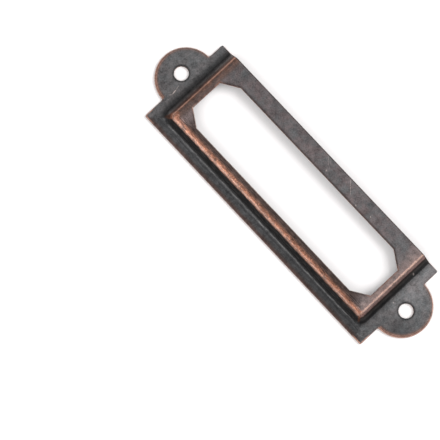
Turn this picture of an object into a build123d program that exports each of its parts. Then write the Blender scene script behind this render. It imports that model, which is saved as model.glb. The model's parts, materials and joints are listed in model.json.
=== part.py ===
from build123d import *
from math import radians, sin, tan
import os

# Drawer label holder, pressed and blanked from one piece of steel sheet.
# It lies on its back, as on a table: the back of the flange is the XY plane, +Z points out of the
# drawer front and +Y to the open edge, where the card slides in. The origin is under the middle of
# the body, and all sizes are in millimetres.

# Sheet and body
sheet = 0.7  # thickness of the steel
body_length = 69.0  # end to end of the flange, without the ears
body_width = 23.4  # long flanged edge to open edge
face_height = 3.0  # back plane to the front of the raised face
body_corner = 0.3  # plan radius of the body's four corners

# The step that lifts the face off the drawer front on three sides
side_setback = 2.15  # long flanged edge to the foot of the sloping wall
end_setback = 2.65  # end of the flange to the foot of the wall there
wall_angle = 50.0  # slope of the wall above the flange, in degrees
foot_bend = 0.5  # inside radius of the bend from flange to wall
brow_bend = 0.5  # inside radius of the bend from wall to face
corner_tip = 0.06  # plan radius of the step's corners up on the face; it widens down the wall

# Ears and screw holes
ear_radius = 7.0
ear_rise = 0.65  # the ears sit this far above the body's middle, towards the open edge
ear_notch = 0.4  # radius in the notch between ear and flange
hole_diameter = 3.3
hole_outset = 1.5  # hole centre outside the ear's centre

# Window in front of the card
window_margin = 6.2  # edge of the flange to the window, on the three stepped sides
open_rail = 4.0  # rail between the window and the open edge
window_cut_x = 3.95  # the window's cut corners, measured along X
window_cut_y = 2.55  # and along Y
window_corner = 0.25

# Cut edges, where the sheet was punched from the front
edge_roll = 0.2  # radius that the punch draws along every cut edge, on the front
edge_break = 0.1  # bevel along every cut edge on the back, where the burr was taken off

# Worked out from the sizes above
wall_draft = 90 - wall_angle
front_shift = -sheet / tan(radians(wall_angle))  # foot to the wall's front, inwards, at the back plane
back_shift = front_shift + sheet / sin(radians(wall_angle))  # and to the wall's back
window_length = body_length - 2 * window_margin
window_width = body_width - window_margin - open_rail
window_y = (window_margin - open_rail) / 2
hole_x = body_length / 2 + hole_outset
flat_enough = 1e-3  # a punched face's normal leaves the XY plane by less than this

# The step is pressed past the open edge into spare sheet, which the blanking then cuts away
spare = 2 * ear_radius
pressed_width = body_width + spare
pressing = Plane((0, spare / 2, 0))


def sloping_block(shift, height, brow):
    """A block with sloping sides, conical corners and a rounded brow, set in from the foot by the shift."""
    base_corner = corner_tip + brow * tan(radians(wall_angle / 2)) + height / tan(radians(wall_angle))
    with BuildPart() as block:
        with BuildSketch(pressing):
            RectangleRounded(
                body_length - 2 * (end_setback + shift),
                pressed_width - 2 * (side_setback + shift),
                base_corner,
            )
        extrude(amount=height, taper=wall_draft)
        fillet(block.faces().sort_by(Axis.Z)[-1].edges(), brow)
    return block.part


def cut_edges(metal, side):
    """The edges where the punched faces meet the front of the sheet (side 1) or its back (side -1)."""
    punched = metal.faces().filter_by(lambda face: abs(face.normal_at().Z) < flat_enough).edges()
    surface = metal.faces().filter_by(lambda face: side * face.normal_at().Z > flat_enough)
    return [edge for edge in surface.edges() if edge in punched]


with BuildSketch() as outline:
    Rectangle(body_length, body_width)
    with Locations((-body_length / 2, ear_rise), (body_length / 2, ear_rise)):
        Circle(ear_radius)
    ends = outline.vertices().group_by(Axis.Y)
    fillet(ends[0] + ends[-1], body_corner)
    notches = outline.vertices().filter_by_position(
        Axis.Y, ear_rise - ear_radius - ear_notch, ear_rise + ear_radius + ear_notch
    )
    fillet(notches, ear_notch)

with BuildSketch(Plane((0, window_y, 0))) as window:
    with BuildLine():
        Polyline(
            (0, window_width / 2),
            (window_length / 2 - window_cut_x, window_width / 2),
            (window_length / 2, window_width / 2 - window_cut_y),
            (window_length / 2, 0),
        )
        mirror(about=Plane.YZ)
        mirror(about=Plane.XZ)
    make_face()
    fillet(window.vertices(), window_corner)

with BuildPart() as label_holder:
    # Pressed sheet: the front of the step
    with BuildSketch(pressing):
        Rectangle(body_length + 2 * spare, pressed_width + 2 * spare)
    extrude(amount=sheet)
    add(sloping_block(front_shift, face_height, brow_bend + sheet))
    flange_front = faces().filter_by(Plane.XY).group_by(Axis.Z)[1][0]
    fillet(flange_front.inner_wires()[0].edges(), foot_bend)

    # Pressed sheet: the back of the step, one thickness behind the front all over
    add(sloping_block(back_shift, face_height - sheet, brow_bend), mode=Mode.SUBTRACT)
    flange_back = faces().filter_by(Plane.XY).sort_by(Axis.Z)[0]
    fillet(flange_back.inner_wires()[0].edges(), foot_bend + sheet)

    # Blanked: outline, window and screw holes
    extrude(outline.sketch, amount=face_height, mode=Mode.INTERSECT)
    extrude(window.sketch, amount=face_height, mode=Mode.SUBTRACT)
    with Locations((-hole_x, ear_rise, sheet), (hole_x, ear_rise, sheet)):
        Hole(hole_diameter / 2, sheet)

    # Deburred: rounded on the front, bevelled on the back
    fillet(cut_edges(label_holder.part, 1), edge_roll)
    chamfer(cut_edges(label_holder.part, -1), edge_break)

label_holder.part.label = "label_holder"

os.makedirs("parts", exist_ok=True)
export_step(label_holder.part, "parts/label_holder.step")
size = label_holder.part.bounding_box().size
print(f"{label_holder.part.volume:.1f} mm3, {size.X:.1f} x {size.Y:.1f} x {size.Z:.1f} mm")
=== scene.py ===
import json
from math import cos, radians, sin

import bpy
from mathutils import Matrix, Vector


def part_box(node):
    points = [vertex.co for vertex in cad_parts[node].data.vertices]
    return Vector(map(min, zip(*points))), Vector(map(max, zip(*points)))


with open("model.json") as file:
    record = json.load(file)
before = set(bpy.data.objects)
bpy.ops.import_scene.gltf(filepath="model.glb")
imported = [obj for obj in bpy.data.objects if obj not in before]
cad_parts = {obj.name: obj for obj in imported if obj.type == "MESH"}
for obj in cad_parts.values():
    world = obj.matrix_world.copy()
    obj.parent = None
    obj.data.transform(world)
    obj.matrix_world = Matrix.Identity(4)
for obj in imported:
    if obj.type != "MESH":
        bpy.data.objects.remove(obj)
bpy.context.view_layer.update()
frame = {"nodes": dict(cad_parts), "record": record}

scene = bpy.context.scene
scene.view_settings.view_transform = "Standard"

# Camera, in the picture's own axes: it looks almost straight down at the holder on the table
HOLDER_TURN = radians(-42.95)
HOLDER_PLACE = Vector((0.01509, 0.00692, 0))
CAMERA_LEAN = radians(7.33)
CAMERA_ROLL = radians(-4.06)
CAMERA_DISTANCE = 0.4359
PICTURE_WIDTH = 440
FOCAL_PIXELS = 1986.2

# Floor and light
FLOOR_SIZE = 1.6
FLOOR_LEVEL = -0.00005  # just clear of the holder's back
FLOOR_TINT = (0.895, 0.880, 0.882)
FLOOR_GLOW = 0.04  # white that the floor's shadows don't reach
GLOW_RAYS = ("Is Camera Ray", "Is Glossy Ray", "Is Transmission Ray")  # the rays that see the glow
HORIZON_LEVEL = 0.46
ZENITH_LEVEL = 0.80
LAMP_DISTANCE = 0.9
LAMP_SIZE = 0.6
# Each softbox: azimuth in the picture, from its right-hand side, elevation and power
LAMPS = {
    "key": (radians(15), radians(50), 5.5),
    "fill": (radians(-130), radians(46), 2.5),
}

# Sizes of the pressing, in millimetres, which its material is laid out in
MILLIMETRES = 1000  # to the metre
holder_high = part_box("label_holder")[1] * MILLIMETRES
holes = next(mount for mount in frame["record"]["mounts"] if mount["name"] == "screw_holes")
EAR_RADIUS = 7.0
EAR_RISE = holes["pos_m"][1] * MILLIMETRES
HALF_LENGTH = holder_high.x - EAR_RADIUS
HALF_WIDTH = holder_high.y
HOLE_X = holes["dims"]["spacing_x_mm"] / 2
HOLE_RADIUS = holes["dims"]["hole_r_mm"]
SIDE_FOOT = 2.15  # long flanged edge to the foot of the step
END_FOOT = 2.65
FOOT_CORNER = 2.55
WINDOW_MARGIN = 6.2
OPEN_RAIL = 4.0
WINDOW_CUT = Vector((3.95, 2.55))
CUT_SLOPE = WINDOW_CUT.x * WINDOW_CUT.y / WINDOW_CUT.length  # turns shares of the cut into a distance

# Lines of the finish on the step, with its painted highlights, sheen and shade, in millimetres inwards
# from its foot
BACK_BEND = -0.15  # copper on the back of the foot's bend
DARK_LINE = -0.35  # dark line along the long flange
FOOT_HIGHLIGHT_LINE = 0.16  # painted highlight: a pale line beside it, in the foot's bend
RIGHT_FOOT_SHADE = 0.18  # painted shade: the blackest line, in the foot at the right end
RIGHT_SHEEN = 0.8  # painted sheen: a grey line up the wall there
LEFT_WEAR_AND_HIGHLIGHT = 1.66  # bright line of the left brow: worn copper with a painted highlight
LEFT_SHOULDER = 1.75  # dull copper round it
LONG_GLINT = 1.78  # painted glint: a pale line along the outer edge of the long brow's band
RIGHT_WEAR_AND_HIGHLIGHT = 2.13  # pale line of the right brow: worn copper with a painted highlight
CORNER_TIP = Vector((2.2, 2.6))  # bright end of a corner's ridge, from the end's foot and the side's

# Lines of copper round the ears, in millimetres inwards from the outline
DARK_RIM = 0.30
DULL_RIM = 0.45

# Where one finish gives way to another, in millimetres
BROW_HEIGHT = (2.3, 2.6)  # heights above the back where the brow's finish begins and is full
MIDDLE_FADE = 2  # from the left half's finish to the right half's, to either side of the middle
MITRE_FADE = 0.4  # from the long side's to an end's, to either side of the corner's mitre

# The finish as a whole
METALLIC = 0.9
ROUGHNESS = 0.45
BUMP_STRENGTH = 0.45
BUMP_HEIGHT = 0.00002
BRUSH_TURN = radians(-12)  # of the faint brush marks, from the holder's own Y

# Colours, in linear light
BLACK = (0.0130, 0.0127, 0.0128)
RED_BLACK = (0.040, 0.026, 0.023)
# painted shade in the foot of the right end's wall
FOOT_SHADE_BLACK = (0.005, 0.005, 0.005)
# grey of the scuffs in the wall's patina, and of the painted sheen up the right end's wall
WALL_SCUFF_AND_SHEEN = (0.084, 0.077, 0.075)
# painted sheen that lightens the left end's wall
LEFT_WALL_SHEEN = (0.150, 0.136, 0.132)
WALL_BROWN = (0.112, 0.066, 0.053)
COOL_GREY = (0.096, 0.099, 0.102)
ROSY_GREY = (0.112, 0.103, 0.104)
LONG_GREY = (0.060, 0.060, 0.062)
LONG_BROWN = (0.068, 0.047, 0.042)
# painted highlight along the foot's bend on the long side
FOOT_HIGHLIGHT = (0.235, 0.230, 0.228)
RAIL_COOL = (0.096, 0.097, 0.100)
RAIL_ROSY = (0.122, 0.098, 0.099)
CORNER_BROWN = (0.160, 0.120, 0.116)
LEFT_BROWN = (0.103, 0.074, 0.067)
DARK_BROWN = (0.066, 0.046, 0.041)
PALE_ROSE = (0.200, 0.150, 0.140)
ROSY_BLOT = (0.330, 0.250, 0.232)
# pale cut edge of the window, brightened with a painted highlight
PALE_RIM_AND_HIGHLIGHT = (0.42, 0.34, 0.31)
BACK_GREY = (0.052, 0.050, 0.050)
BACK_BROWN = (0.085, 0.066, 0.060)
COPPER = (0.385, 0.226, 0.176)
# pale worn copper, also laid on as painted glints and highlights on the brows
PALE_COPPER_AND_GLINT = (0.44, 0.285, 0.235)
# worn copper brightened as a painted highlight on the left brow
LEFT_HIGHLIGHT_COPPER = (0.56, 0.315, 0.235)
ORANGE_COPPER = (0.345, 0.152, 0.096)
BRIGHT_COPPER = (0.60, 0.280, 0.175)
DULL_COPPER = (0.24, 0.115, 0.078)
RUST = (0.24, 0.088, 0.046)
EDGE_BROWN = (0.040, 0.023, 0.019)
EDGE_RED = (0.17, 0.095, 0.078)
EDGE_HAZE = (0.135, 0.080, 0.066)
EDGE_COPPER = (0.30, 0.165, 0.125)
LEDGE_ROSE = (0.246, 0.153, 0.139)
SCRATCHED = (0.52, 0.44, 0.41)

# Scratches and knocks on the front: from, to and half width in millimetres, and strength
SCRATCHES = (
    ((-34.37, -1.7), (-34.05, -2.9), 0.10, 0.4),
    ((-34.05, -2.9), (-33.95, -3.8), 0.15, 0.9),
    ((-33.94, -4.1), (-34.10, -4.5), 0.20, 0.4),
    ((31.2, 7.35), (31.35, 7.25), 0.28, 1.0),
    ((32.7, -0.1), (32.9, -0.1), 0.20, 0.35),
    ((-0.1, 11.3), (1.3, 10.0), 0.11, 0.25),
    ((0.6, 11.3), (1.5, 10.5), 0.10, 0.22),
    ((1.8, 8.9), (1.9, 8.7), 0.25, 0.4),
    ((6.9, 11.3), (9.2, 9.1), 0.14, 0.28),
    ((11.7, 8.3), (11.9, 8.2), 0.14, 0.5),
    ((15.7, 8.9), (15.9, 8.8), 0.14, 0.5),
)


def make_camera():
    to_picture = Matrix.Translation(HOLDER_PLACE) @ Matrix.Rotation(HOLDER_TURN, 4, "Z")
    lean = Matrix.Rotation(CAMERA_ROLL, 4, "Z") @ Matrix.Rotation(-CAMERA_LEAN, 4, "X")
    back = Matrix.Translation((0, 0, -CAMERA_DISTANCE))
    data = bpy.data.cameras.new("camera")
    data.lens = data.sensor_width * FOCAL_PIXELS / PICTURE_WIDTH
    camera = bpy.data.objects.new("camera", data)
    camera.matrix_world = (back @ lean @ to_picture).inverted()
    scene.collection.objects.link(camera)
    scene.camera = camera


def make_floor():
    mesh = bpy.data.meshes.new("floor")
    half = FLOOR_SIZE / 2
    square = ((-half, -half), (half, -half), (half, half), (-half, half))
    mesh.from_pydata([(x, y, FLOOR_LEVEL) for x, y in square], [], [(0, 1, 2, 3)])
    mesh.materials.append(pale_paper())
    floor = bpy.data.objects.new("floor", mesh)
    scene.collection.objects.link(floor)


def pale_paper():
    """Plain matt paper, with a little glow that the camera and the holder's reflections see."""
    material = bpy.data.materials.new("floor")
    material.use_nodes = True
    tree = material.node_tree
    paper = tree.nodes["Principled BSDF"]
    paper.inputs["Base Color"].default_value = (*FLOOR_TINT, 1)
    paper.inputs["Roughness"].default_value = 1.0
    paper.inputs["Specular IOR Level"].default_value = 0.0
    glow = tree.nodes.new("ShaderNodeEmission")
    path = tree.nodes.new("ShaderNodeLightPath")
    camera, glossy, through = (Value(tree, path.outputs[ray]) for ray in GLOW_RAYS)
    put(glow.inputs["Strength"], camera.most(glossy).most(through) * FLOOR_GLOW)
    both = tree.nodes.new("ShaderNodeAddShader")
    tree.links.new(paper.outputs[0], both.inputs[0])
    tree.links.new(glow.outputs[0], both.inputs[1])
    tree.links.new(both.outputs[0], tree.nodes["Material Output"].inputs["Surface"])
    return material


def make_world():
    """A plain sky that brightens from the horizon to the zenith."""
    world = bpy.data.worlds.new("studio")
    scene.world = world
    world.use_nodes = True
    tree = world.node_tree
    direction = tree.nodes.new("ShaderNodeTexCoord").outputs["Generated"]
    _, _, upward = components(tree, direction)
    background = tree.nodes["Background"]
    background.inputs["Color"].default_value = (1, 1, 1, 1)
    level = upward.rising(0, 1) * (ZENITH_LEVEL - HORIZON_LEVEL) + HORIZON_LEVEL
    put(background.inputs["Strength"], level)


def make_lamps():
    for name, (azimuth, elevation, power) in LAMPS.items():
        data = bpy.data.lights.new(name, "AREA")
        data.energy = power
        data.size = LAMP_SIZE
        lamp = bpy.data.objects.new(name, data)
        turn = azimuth - HOLDER_TURN
        towards = Vector((cos(turn) * cos(elevation), sin(turn) * cos(elevation), sin(elevation)))
        aim = towards.to_track_quat("Z", "Y").to_matrix().to_4x4()
        lamp.matrix_world = Matrix.Translation(towards * LAMP_DISTANCE) @ aim
        scene.collection.objects.link(lamp)


class Value:
    """One output of a node tree: a number or a colour that varies over the surface."""

    def __init__(self, tree, socket):
        self.tree = tree
        self.socket = socket

    def math(self, operation, *others):
        node = self.tree.nodes.new("ShaderNodeMath")
        node.operation = operation
        for slot, value in zip(node.inputs, (self, *others)):
            put(slot, value)
        return Value(self.tree, node.outputs[0])

    def __add__(self, other):
        return self.math("ADD", other)

    def __sub__(self, other):
        return self.math("SUBTRACT", other)

    def __mul__(self, other):
        return self.math("MULTIPLY", other)

    def __neg__(self):
        return self * -1

    def __abs__(self):
        return self.math("ABSOLUTE")

    def least(self, other):
        return self.math("MINIMUM", other)

    def most(self, other):
        return self.math("MAXIMUM", other)

    def distance(self, other):
        """Length of the diagonal over two distances at right angles."""
        return (self * self + other * other).math("SQRT")

    def swing(self, reach):
        """Noise as a swing about zero, of half the reach to either side."""
        return (self - 0.5) * reach

    def rising(self, low, high):
        """0 below low, 1 above high, and smooth between."""
        node = self.tree.nodes.new("ShaderNodeMapRange")
        node.interpolation_type = "SMOOTHSTEP"
        put(node.inputs["Value"], self)
        node.inputs["From Min"].default_value = low
        node.inputs["From Max"].default_value = high
        return Value(self.tree, node.outputs["Result"])

    def falling(self, low, high):
        """1 below low, 0 above high, and smooth between."""
        return -self.rising(low, high) + 1

    def near(self, middle, reach):
        """1 at middle, down to 0 at reach to either side."""
        return abs(self - middle).falling(0, reach)

    def blend(self, first, second):
        """The colour that goes from first to second as this goes from 0 to 1."""
        node = self.tree.nodes.new("ShaderNodeMix")
        node.data_type = "RGBA"
        put(node.inputs["Factor"], self)
        put(node.inputs[6], first)
        put(node.inputs[7], second)
        return Value(self.tree, node.outputs[2])

    def shaded(self, amount):
        """This colour, made brighter or darker by the amount."""
        node = self.tree.nodes.new("ShaderNodeVectorMath")
        node.operation = "SCALE"
        put(node.inputs["Vector"], self)
        put(node.inputs["Scale"], amount)
        return Value(self.tree, node.outputs[0])


def put(slot, value):
    if isinstance(value, Value):
        value.tree.links.new(value.socket, slot)
    elif isinstance(value, tuple):
        slot.default_value = (*value, 1)
    else:
        slot.default_value = value


def components(tree, vector):
    split = tree.nodes.new("ShaderNodeSeparateXYZ")
    tree.links.new(vector, split.inputs[0])
    return [Value(tree, output) for output in split.outputs]


def noise(place, size, seed, detail=4.0, roughness=0.55, stretch=(1, 1, 1), turn=0.0):
    """Noise from about 0 to 1, with features of the size in millimetres, drawn out by the stretch."""
    tree = place.tree
    mapping = tree.nodes.new("ShaderNodeMapping")
    mapping.vector_type = "TEXTURE"
    mapping.inputs["Rotation"].default_value = (0, 0, turn)
    mapping.inputs["Scale"].default_value = [size * longer for longer in stretch]
    put(mapping.inputs["Vector"], place)
    node = tree.nodes.new("ShaderNodeTexNoise")
    node.noise_dimensions = "4D"
    node.inputs["W"].default_value = seed
    node.inputs["Scale"].default_value = 1.0
    node.inputs["Detail"].default_value = detail
    node.inputs["Roughness"].default_value = roughness
    tree.links.new(mapping.outputs[0], node.inputs["Vector"])
    return Value(tree, node.outputs["Fac"])


class Surface:
    """Where a point of the holder lies, in millimetres, as values for its material."""

    def __init__(self, tree):
        metres = tree.nodes.new("ShaderNodeTexCoord").outputs["Object"]
        self.place = Value(tree, metres).shaded(MILLIMETRES)
        self.x, self.y, self.z = components(tree, self.place.socket)
        normal = tree.nodes.new("ShaderNodeNewGeometry").outputs["Normal"]
        _, _, self.up = components(tree, normal)
        self.find_edges()
        self.find_step()
        self.add_textures()

    def find_edges(self):
        """Distances inwards from the outline, and outwards from the hole and the window."""
        self.end = -abs(self.x) + HALF_LENGTH
        self.side = self.y + HALF_WIDTH
        self.open_side = -self.y + HALF_WIDTH
        self.ear = -(abs(self.x) - HALF_LENGTH).distance(self.y - EAR_RISE) + EAR_RADIUS
        self.outline = self.end.least(self.side).least(self.open_side).most(self.ear)
        self.hole = (abs(self.x) - HOLE_X).distance(self.y - EAR_RISE) - HOLE_RADIUS
        across_x = -self.end + WINDOW_MARGIN
        across_y = (-self.side + WINDOW_MARGIN).most(-self.open_side + OPEN_RAIL)
        cut = (across_x * (1 / WINDOW_CUT.x) + across_y * (1 / WINDOW_CUT.y) + 1) * CUT_SLOPE
        self.window = across_x.most(across_y).most(cut)

    def find_step(self):
        """Distance inwards from the step's foot, round its corners too, and which wall is nearest."""
        self.end_step = self.end - END_FOOT
        self.side_step = self.side - SIDE_FOOT
        sharp = self.end_step.least(self.side_step)
        short_x = (-self.end_step + FOOT_CORNER).most(0)
        short_y = (-self.side_step + FOOT_CORNER).most(0)
        self.step = -short_x.distance(short_y) + FOOT_CORNER + (sharp - FOOT_CORNER).most(0)
        self.high = self.z.rising(*BROW_HEIGHT)
        self.right = self.x.rising(-MIDDLE_FADE, MIDDLE_FADE)
        self.at_end = (self.side_step - self.end_step).rising(-MITRE_FADE, MITRE_FADE)
        self.at_long = -self.at_end + 1
        self.at_right = self.at_end * self.right
        self.at_left = self.at_end * (-self.right + 1)
        self.end_rail = self.end.falling(WINDOW_MARGIN + 0.2, WINDOW_MARGIN + 1.2)

    def add_textures(self):
        """Fine grain, mottling, tints, blots, clouds, brush marks, and streaks along the step."""
        self.grain = noise(self.place, size=0.3, seed=7, detail=2, roughness=0.5)
        self.mottle = noise(self.place, size=1.3, seed=3, detail=5, roughness=0.62)
        self.tint = noise(self.place, size=2.3, seed=15, detail=6, roughness=0.68)
        self.blots = noise(self.place, size=1.7, seed=31, detail=4, roughness=0.6)
        self.clouds = noise(self.place, size=7, seed=11, detail=3)
        self.brushed = noise(self.place, size=0.2, seed=41, detail=2, stretch=(1, 9, 1), turn=BRUSH_TURN)
        along = noise(self.place, size=0.2, seed=21, detail=4, roughness=0.6, stretch=(9, 1, 1))
        across = noise(self.place, size=0.2, seed=25, detail=4, roughness=0.6, stretch=(1, 9, 1))
        self.streaks = along + (across - along) * self.at_end


def end_patina(at):
    """Mottled grey on the ears and the flange's ends, which gets paler towards the open edge."""
    to_open_edge = at.y.rising(-7, 6)
    lift = to_open_edge * (at.right * 0.42 + 0.08) - at.right * 0.40 + 0.99
    right_flange = at.right * at.end.rising(-2.5, -0.5)
    return at.tint.rising(0.33, 0.67).blend(COOL_GREY, ROSY_GREY).shaded(lift + right_flange * 0.25)


def long_patina(at):
    """Darker grey on the long flange, brown at its edge, with a dark line and a pale line by the step,
    the pale one a painted highlight.
    """
    rim = (at.side + at.mottle.swing(1.0)).falling(0.4, 1.1)
    colour = rim.blend(LONG_GREY, LONG_BROWN).shaded(at.x.falling(-10, 25) * 0.3 + 0.7)
    dark_line = at.side_step.near(DARK_LINE, 0.25)
    colour = (dark_line * 0.3).blend(colour, BLACK)
    # painted highlight: a pale line along the foot's concave bend
    line = (at.side_step + at.blots.swing(0.35)).near(FOOT_HIGHLIGHT_LINE, 0.21)
    broken = at.streaks.rising(0.35, 0.6) * 0.75 + 0.25
    return (line * broken * at.end.rising(3.5, 6.5)).blend(colour, FOOT_HIGHLIGHT)


def face_patina(at):
    """Grey on the face, brown on its long rail and at its left end, and rosy at its right end."""
    colour = at.tint.rising(0.33, 0.67).blend(RAIL_COOL, RAIL_ROSY)
    middle = at.end.rising(5.5, 9.5)
    long_rail = (at.y + at.clouds.swing(5)).falling(-6.5, 3.0) * middle
    colour = long_rail.blend(colour, DARK_BROWN)
    left = -at.right + 1
    left_corner = at.y.falling(-4, 1) * (-middle + 1) * left
    colour = left_corner.blend(colour, CORNER_BROWN)
    left_strip = at.end.falling(5.7, 6.6) * left
    colour = left_strip.blend(colour, LEFT_BROWN)
    rosy = at.right * at.end.falling(4.5, 9) * (at.clouds + 0.25).least(1)
    colour = rosy.blend(colour, PALE_ROSE)
    blotched = at.right * at.end.falling(5.5, 8.5) * at.blots.rising(0.48, 0.68)
    return (blotched * 0.6).blend(colour, ROSY_BLOT)


def front_patina(at):
    """The patina of the whole front, under its black and its copper."""
    long_to_end = (at.side_step - at.end_step + at.mottle.swing(5)).rising(-0.9, 0.9)
    flange = long_to_end.blend(long_patina(at), end_patina(at))
    return at.z.rising(2.3, 2.7).blend(flange, face_patina(at))


def step_patina_and_shade(at, colour):
    """Dark patina up the step's wall, deepened with painted shade; painted shade at the ends out over
    the inner half of the flange; painted sheens on the end walls and painted shade in the right end's
    foot.
    """
    below_brow = at.step.falling(1.4, 1.6)
    # painted shade: the end walls' shadow and dark reflection, spread out over the inner half of the
    # flange
    flange = (at.step - at.right * 0.9).rising(-2.0, -0.25) * at.at_end * below_brow
    # dark patina up the wall, deepened here with painted shade
    wall = at.step.rising(0.3, 0.65) * below_brow
    scuffs = at.streaks.rising(0.48, 0.64) * (at.at_end * -0.35 + 0.45)
    # painted sheen: a grey line up the right end's wall
    right_sheen = at.step.near(RIGHT_SHEEN, 0.4) * at.at_right
    black = (scuffs + right_sheen * 0.45).blend(BLACK, WALL_SCUFF_AND_SHEEN)
    # painted sheen that lightens the left end's wall
    left_sheen = at.step.rising(-0.12, 0.72) * at.at_left
    black = (left_sheen * 0.95).blend(black, LEFT_WALL_SHEEN)
    brown = at.step.rising(0.7, 1.15) * (at.at_left * 0.9 + at.at_right * 0.15)
    black = brown.blend(black, WALL_BROWN)
    # painted shade: the blackest line, in the foot of the right end's wall
    right_foot_shade = at.step.near(RIGHT_FOOT_SHADE, 0.5) * at.at_right
    black = right_foot_shade.blend(black, FOOT_SHADE_BLACK)
    return (flange * (at.at_left * -0.03 + 0.88)).most(wall).blend(colour, black)


def blackened_rims(at, colour):
    """Dark streaks on the long rail, and dark rims round the window and the screw holes."""
    on_long_rail = at.side_step.near(3.1, 1.3) * at.at_long * at.z.rising(2.5, 2.8)
    colour = (at.streaks.falling(0.42, 0.56) * on_long_rail * 0.6).blend(colour, RED_BLACK)
    window = at.window.falling(0.1, 0.6) * (at.end_rail * -0.8 + 1)
    colour = (window * 0.75).blend(colour, RED_BLACK)
    return (at.hole.falling(0.2, 0.6) * 0.65).blend(colour, BLACK)


def corner_copper(at, colour):
    """Copper at the corners of the step: rust down the ridge, and bright metal at its tip."""
    off_ridge = abs(at.side_step - at.end_step - 0.35 + at.right * 0.6)
    off_ridge = off_ridge + at.blots.swing(1.2) + at.right * 0.4
    along_ridge = (at.step - at.right * 0.3).rising(-0.3, 0.9) * at.step.falling(1.8, 2.6)
    ridge = (off_ridge - at.step * 0.35).falling(0.0, 0.7) * along_ridge
    colour = (ridge * (at.right * -0.25 + 0.95)).blend(colour, RUST)
    colour = (ridge * at.step.falling(0.8, 1.9) * 0.85).blend(colour, RED_BLACK)
    grains = ridge * at.step.rising(0.9, 1.7) * at.grain.rising(0.45, 0.6)
    colour = grains.blend(colour, ORANGE_COPPER)

    from_tip = (at.end_step - CORNER_TIP.x).distance(at.side_step - CORNER_TIP.y + at.right * 0.2)
    from_tip = from_tip + at.mottle.swing(2.2) + at.right * 0.25
    colour = (from_tip.falling(0.4, 1.1) * at.grain.rising(0.3, 0.45)).blend(colour, ORANGE_COPPER)
    specks = (at.grain + at.blots).rising(0.94, 1.1)
    return (from_tip.falling(0.3, 1.0) * specks).blend(colour, PALE_COPPER_AND_GLINT)


def long_brow_copper(at, colour):
    """A haze on every brow, and on the long one a band, pale outside and orange inside, with a painted
    glint along its outer edge.
    """
    haze = at.step.falling(1.9, 3.5) * at.blots.rising(0.38, 0.6) * at.high
    colour = (haze * (at.at_left * -0.3 + at.at_right * -0.45 + 0.8)).blend(colour, DULL_COPPER)

    depth = at.step + at.blots.swing(1.3)
    band = at.step.rising(1.4, 1.75) * depth.falling(2.15, 3.0) * at.high * at.at_long
    copper = depth.rising(1.75, 2.35).blend(COPPER, ORANGE_COPPER)
    colour = (band * (brow_wear(at) * 0.85 + 0.15)).blend(colour, copper)
    # painted glint: a pale line along the band's outer edge
    glint = at.step.near(LONG_GLINT, 0.26) * at.streaks.rising(0.36, 0.58) * at.high * at.at_long
    colour = (glint * 0.8).blend(colour, PALE_COPPER_AND_GLINT)
    flecks = at.grain.rising(0.52, 0.68) * band * at.streaks.rising(0.4, 0.55)
    colour = (flecks * 0.7).blend(colour, BRIGHT_COPPER)

    on_long_rail = at.high * at.at_long * at.side.falling(6, 8)
    # the long rail lighter towards its left end and darker towards its right
    lighter_to_left = at.x.falling(-22, 24) * 0.34 - 0.15
    return colour.shaded(lighter_to_left * on_long_rail + 1)


def end_brow_copper(at, colour):
    """A rosy ledge and a pale line on the right brow, and a bright line on the left one; both lines are
    worn copper with a painted highlight.
    """
    ledge = at.step.rising(1.22, 1.48) * at.step.falling(1.6, 1.95) * at.at_right
    colour = (ledge * 0.85).blend(colour, LEDGE_ROSE)
    # worn copper with a painted highlight: a pale line on the right brow
    right_wear_and_highlight = at.step.near(RIGHT_WEAR_AND_HIGHLIGHT, 0.32) * at.at_right
    colour = (right_wear_and_highlight * (brow_wear(at) * 0.4 + 0.6)).blend(colour, PALE_COPPER_AND_GLINT)
    shoulder = at.step.near(LEFT_SHOULDER, 0.5) * at.at_left
    colour = (shoulder * 0.4).blend(colour, DULL_COPPER)
    # worn copper with a painted highlight: a bright line on the left brow
    left_wear_and_highlight = at.step.near(LEFT_WEAR_AND_HIGHLIGHT, 0.27) * at.at_left * at.side_step.rising(1.7, 2.5)
    return (left_wear_and_highlight * (brow_wear(at) * 0.6 + 0.4)).blend(colour, LEFT_HIGHLIGHT_COPPER)


def brow_wear(at):
    """How far the brow is rubbed bright, from 0 to 1, in streaks and blots."""
    return at.streaks.rising(0.34, 0.6) * 0.6 + at.blots.rising(0.3, 0.6) * 0.4


def outline_copper(at, colour):
    """Copper round the outline, and on the ears a dark line, a dull one and a haze inside it."""
    corner = (at.end.most(0) + at.side.most(0)).falling(1.0, 3.6)
    on_ear = at.end.falling(-0.3, 0.1)
    to_long_side = at.y.falling(-5.5, 5.5)
    strength = (on_ear * (to_long_side * 0.6 + 0.5) + corner + 0.25).least(1)
    strength = strength * at.mottle.rising(0.2, 0.45)
    rim = at.outline + at.mottle.swing(0.25)
    haze = rim.falling(0.45, 1.1) * on_ear * (to_long_side * 0.7 + 0.2)
    colour = haze.blend(colour, EDGE_HAZE)
    dull = rim.near(DULL_RIM, 0.17) * on_ear * (to_long_side * 0.75 + 0.25) * (at.right * -0.35 + 1)
    colour = dull.blend(colour, EDGE_COPPER)
    bright = rim.falling(0.14, 0.34) * strength * at.open_side.rising(0.3, 1.5)
    colour = bright.blend(colour, strength.rising(0.2, 0.6).blend(EDGE_RED, COPPER))
    dark = rim.near(DARK_RIM, 0.10) * on_ear
    return (dark * 0.55).blend(colour, RED_BLACK)


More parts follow.
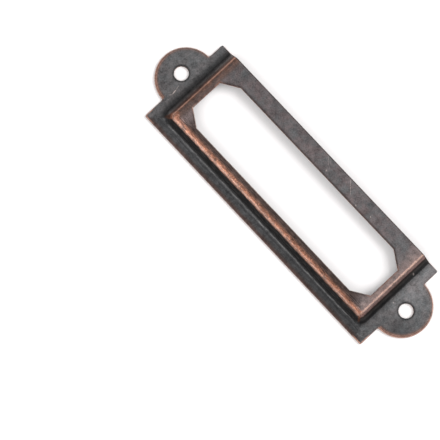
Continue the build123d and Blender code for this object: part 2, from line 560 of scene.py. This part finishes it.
def opening_copper(at, colour):
    """A brown open edge, copper round the window's ends, and a pale rim along its long side, with a
    painted highlight on it.
    """
    open_edge = at.open_side.falling(0.12, 0.3) * at.end.rising(0.5, 2.5)
    colour = (open_edge * 0.9).blend(colour, EDGE_BROWN)
    window_ends = at.window.falling(0.1, 0.5) * at.end_rail * at.mottle.rising(0.3, 0.6)
    colour = (window_ends * 0.6).blend(colour, DULL_COPPER)
    # pale cut edge along the window's long side, with a painted highlight
    pale_rim_and_highlight = at.window.falling(0.05, 0.2) * at.y.falling(-4, 0) * (at.right * -0.4 + 1)
    return (pale_rim_and_highlight * 0.85).blend(colour, PALE_RIM_AND_HIGHLIGHT)


def scratch(at, start, end, width):
    """A straight mark between two places on the front, fading towards its sides."""
    run = Vector(end) - Vector(start)
    from_x, from_y = at.x - start[0], at.y - start[1]
    share = ((from_x * run.x + from_y * run.y) * (1 / run.length_squared)).most(0).least(1)
    away = (from_x - share * run.x).distance(from_y - share * run.y)
    return away.falling(0, width) * at.up.rising(0.5, 0.8)


def marked(at, colour):
    """Scratches and small knocks through the patina, in the places where the real part has them."""
    for start, end, width, strength in SCRATCHES:
        line = scratch(at, start, end, width) * at.grain.rising(0.3, 0.5) * strength
        colour = line.blend(colour, SCRATCHED)
    return colour


# Layers of the front over its patina, from the lowest to the topmost
FRONT_LAYERS = (
    step_patina_and_shade,
    blackened_rims,
    corner_copper,
    long_brow_copper,
    end_brow_copper,
    outline_copper,
    opening_copper,
    marked,
)


def back_patina(at):
    """The back: browner on the flange and black in the step, with copper along its bends and edges."""
    flange = at.mottle.rising(0.35, 0.65).blend(BACK_GREY, BACK_BROWN)
    colour = at.z.rising(0.3, 1.2).blend(flange, BACK_GREY)
    in_step = at.z.rising(0.5, 1.6) * at.step.falling(2.2, 3.2)
    colour = (in_step * 0.8).blend(colour, BLACK)
    edges = at.outline.falling(0.1, 0.5).most(at.window.falling(0.05, 0.4)) * at.mottle.rising(0.3, 0.6)
    colour = edges.blend(colour, DULL_COPPER)
    bend = at.step.near(BACK_BEND, 0.4) * at.z.falling(0.3, 0.8) * at.streaks.rising(0.3, 0.6)
    return (bend * (at.at_end * 0.4 + 0.6)).blend(colour, COPPER)


def speckled(at, colour):
    """The colour with its grain and mottling, brush marks, and streaks along the long side."""
    brush_marks = at.brushed.rising(0.55, 0.7) * at.clouds.rising(0.35, 0.6)
    on_rail = at.step.near(3.0, 2.0) * at.at_long
    on_flange = at.step.falling(-0.6, 0.2) * at.at_long
    drawn = (at.streaks - 0.5) * (on_rail * 3.2 + on_flange * 1.5)
    return colour.shaded(at.grain.swing(1.3) + at.mottle.swing(1.7) + drawn + brush_marks * 0.3 + 1)


def antique_copper():
    """Copper plate under a dark patina, which is rubbed off where the pressing stands proud, with
    painted shade in the step and painted highlights and sheens on its bends.
    """
    material = bpy.data.materials.new("antique_copper")
    material.use_nodes = True
    tree = material.node_tree
    at = Surface(tree)
    front = front_patina(at)
    for layer in FRONT_LAYERS:
        front = layer(at, front)
    cut_edge = at.mottle.rising(0.3, 0.6).blend(DULL_COPPER, COPPER)
    colour = at.up.rising(-0.35, -0.15).blend(back_patina(at), cut_edge)
    colour = at.up.rising(0.15, 0.35).blend(colour, front)

    shader = tree.nodes["Principled BSDF"]
    put(shader.inputs["Base Color"], speckled(at, colour))
    shader.inputs["Metallic"].default_value = METALLIC
    put(shader.inputs["Roughness"], at.grain.swing(0.2) + at.mottle.swing(0.3) + ROUGHNESS)
    bump = tree.nodes.new("ShaderNodeBump")
    bump.inputs["Strength"].default_value = BUMP_STRENGTH
    bump.inputs["Distance"].default_value = BUMP_HEIGHT
    put(bump.inputs["Height"], at.grain + at.mottle * 2)
    tree.links.new(bump.outputs[0], shader.inputs["Normal"])
    return material


make_camera()
make_floor()
make_world()
make_lamps()
frame["nodes"]["label_holder"].material_slots[0].material = antique_copper()
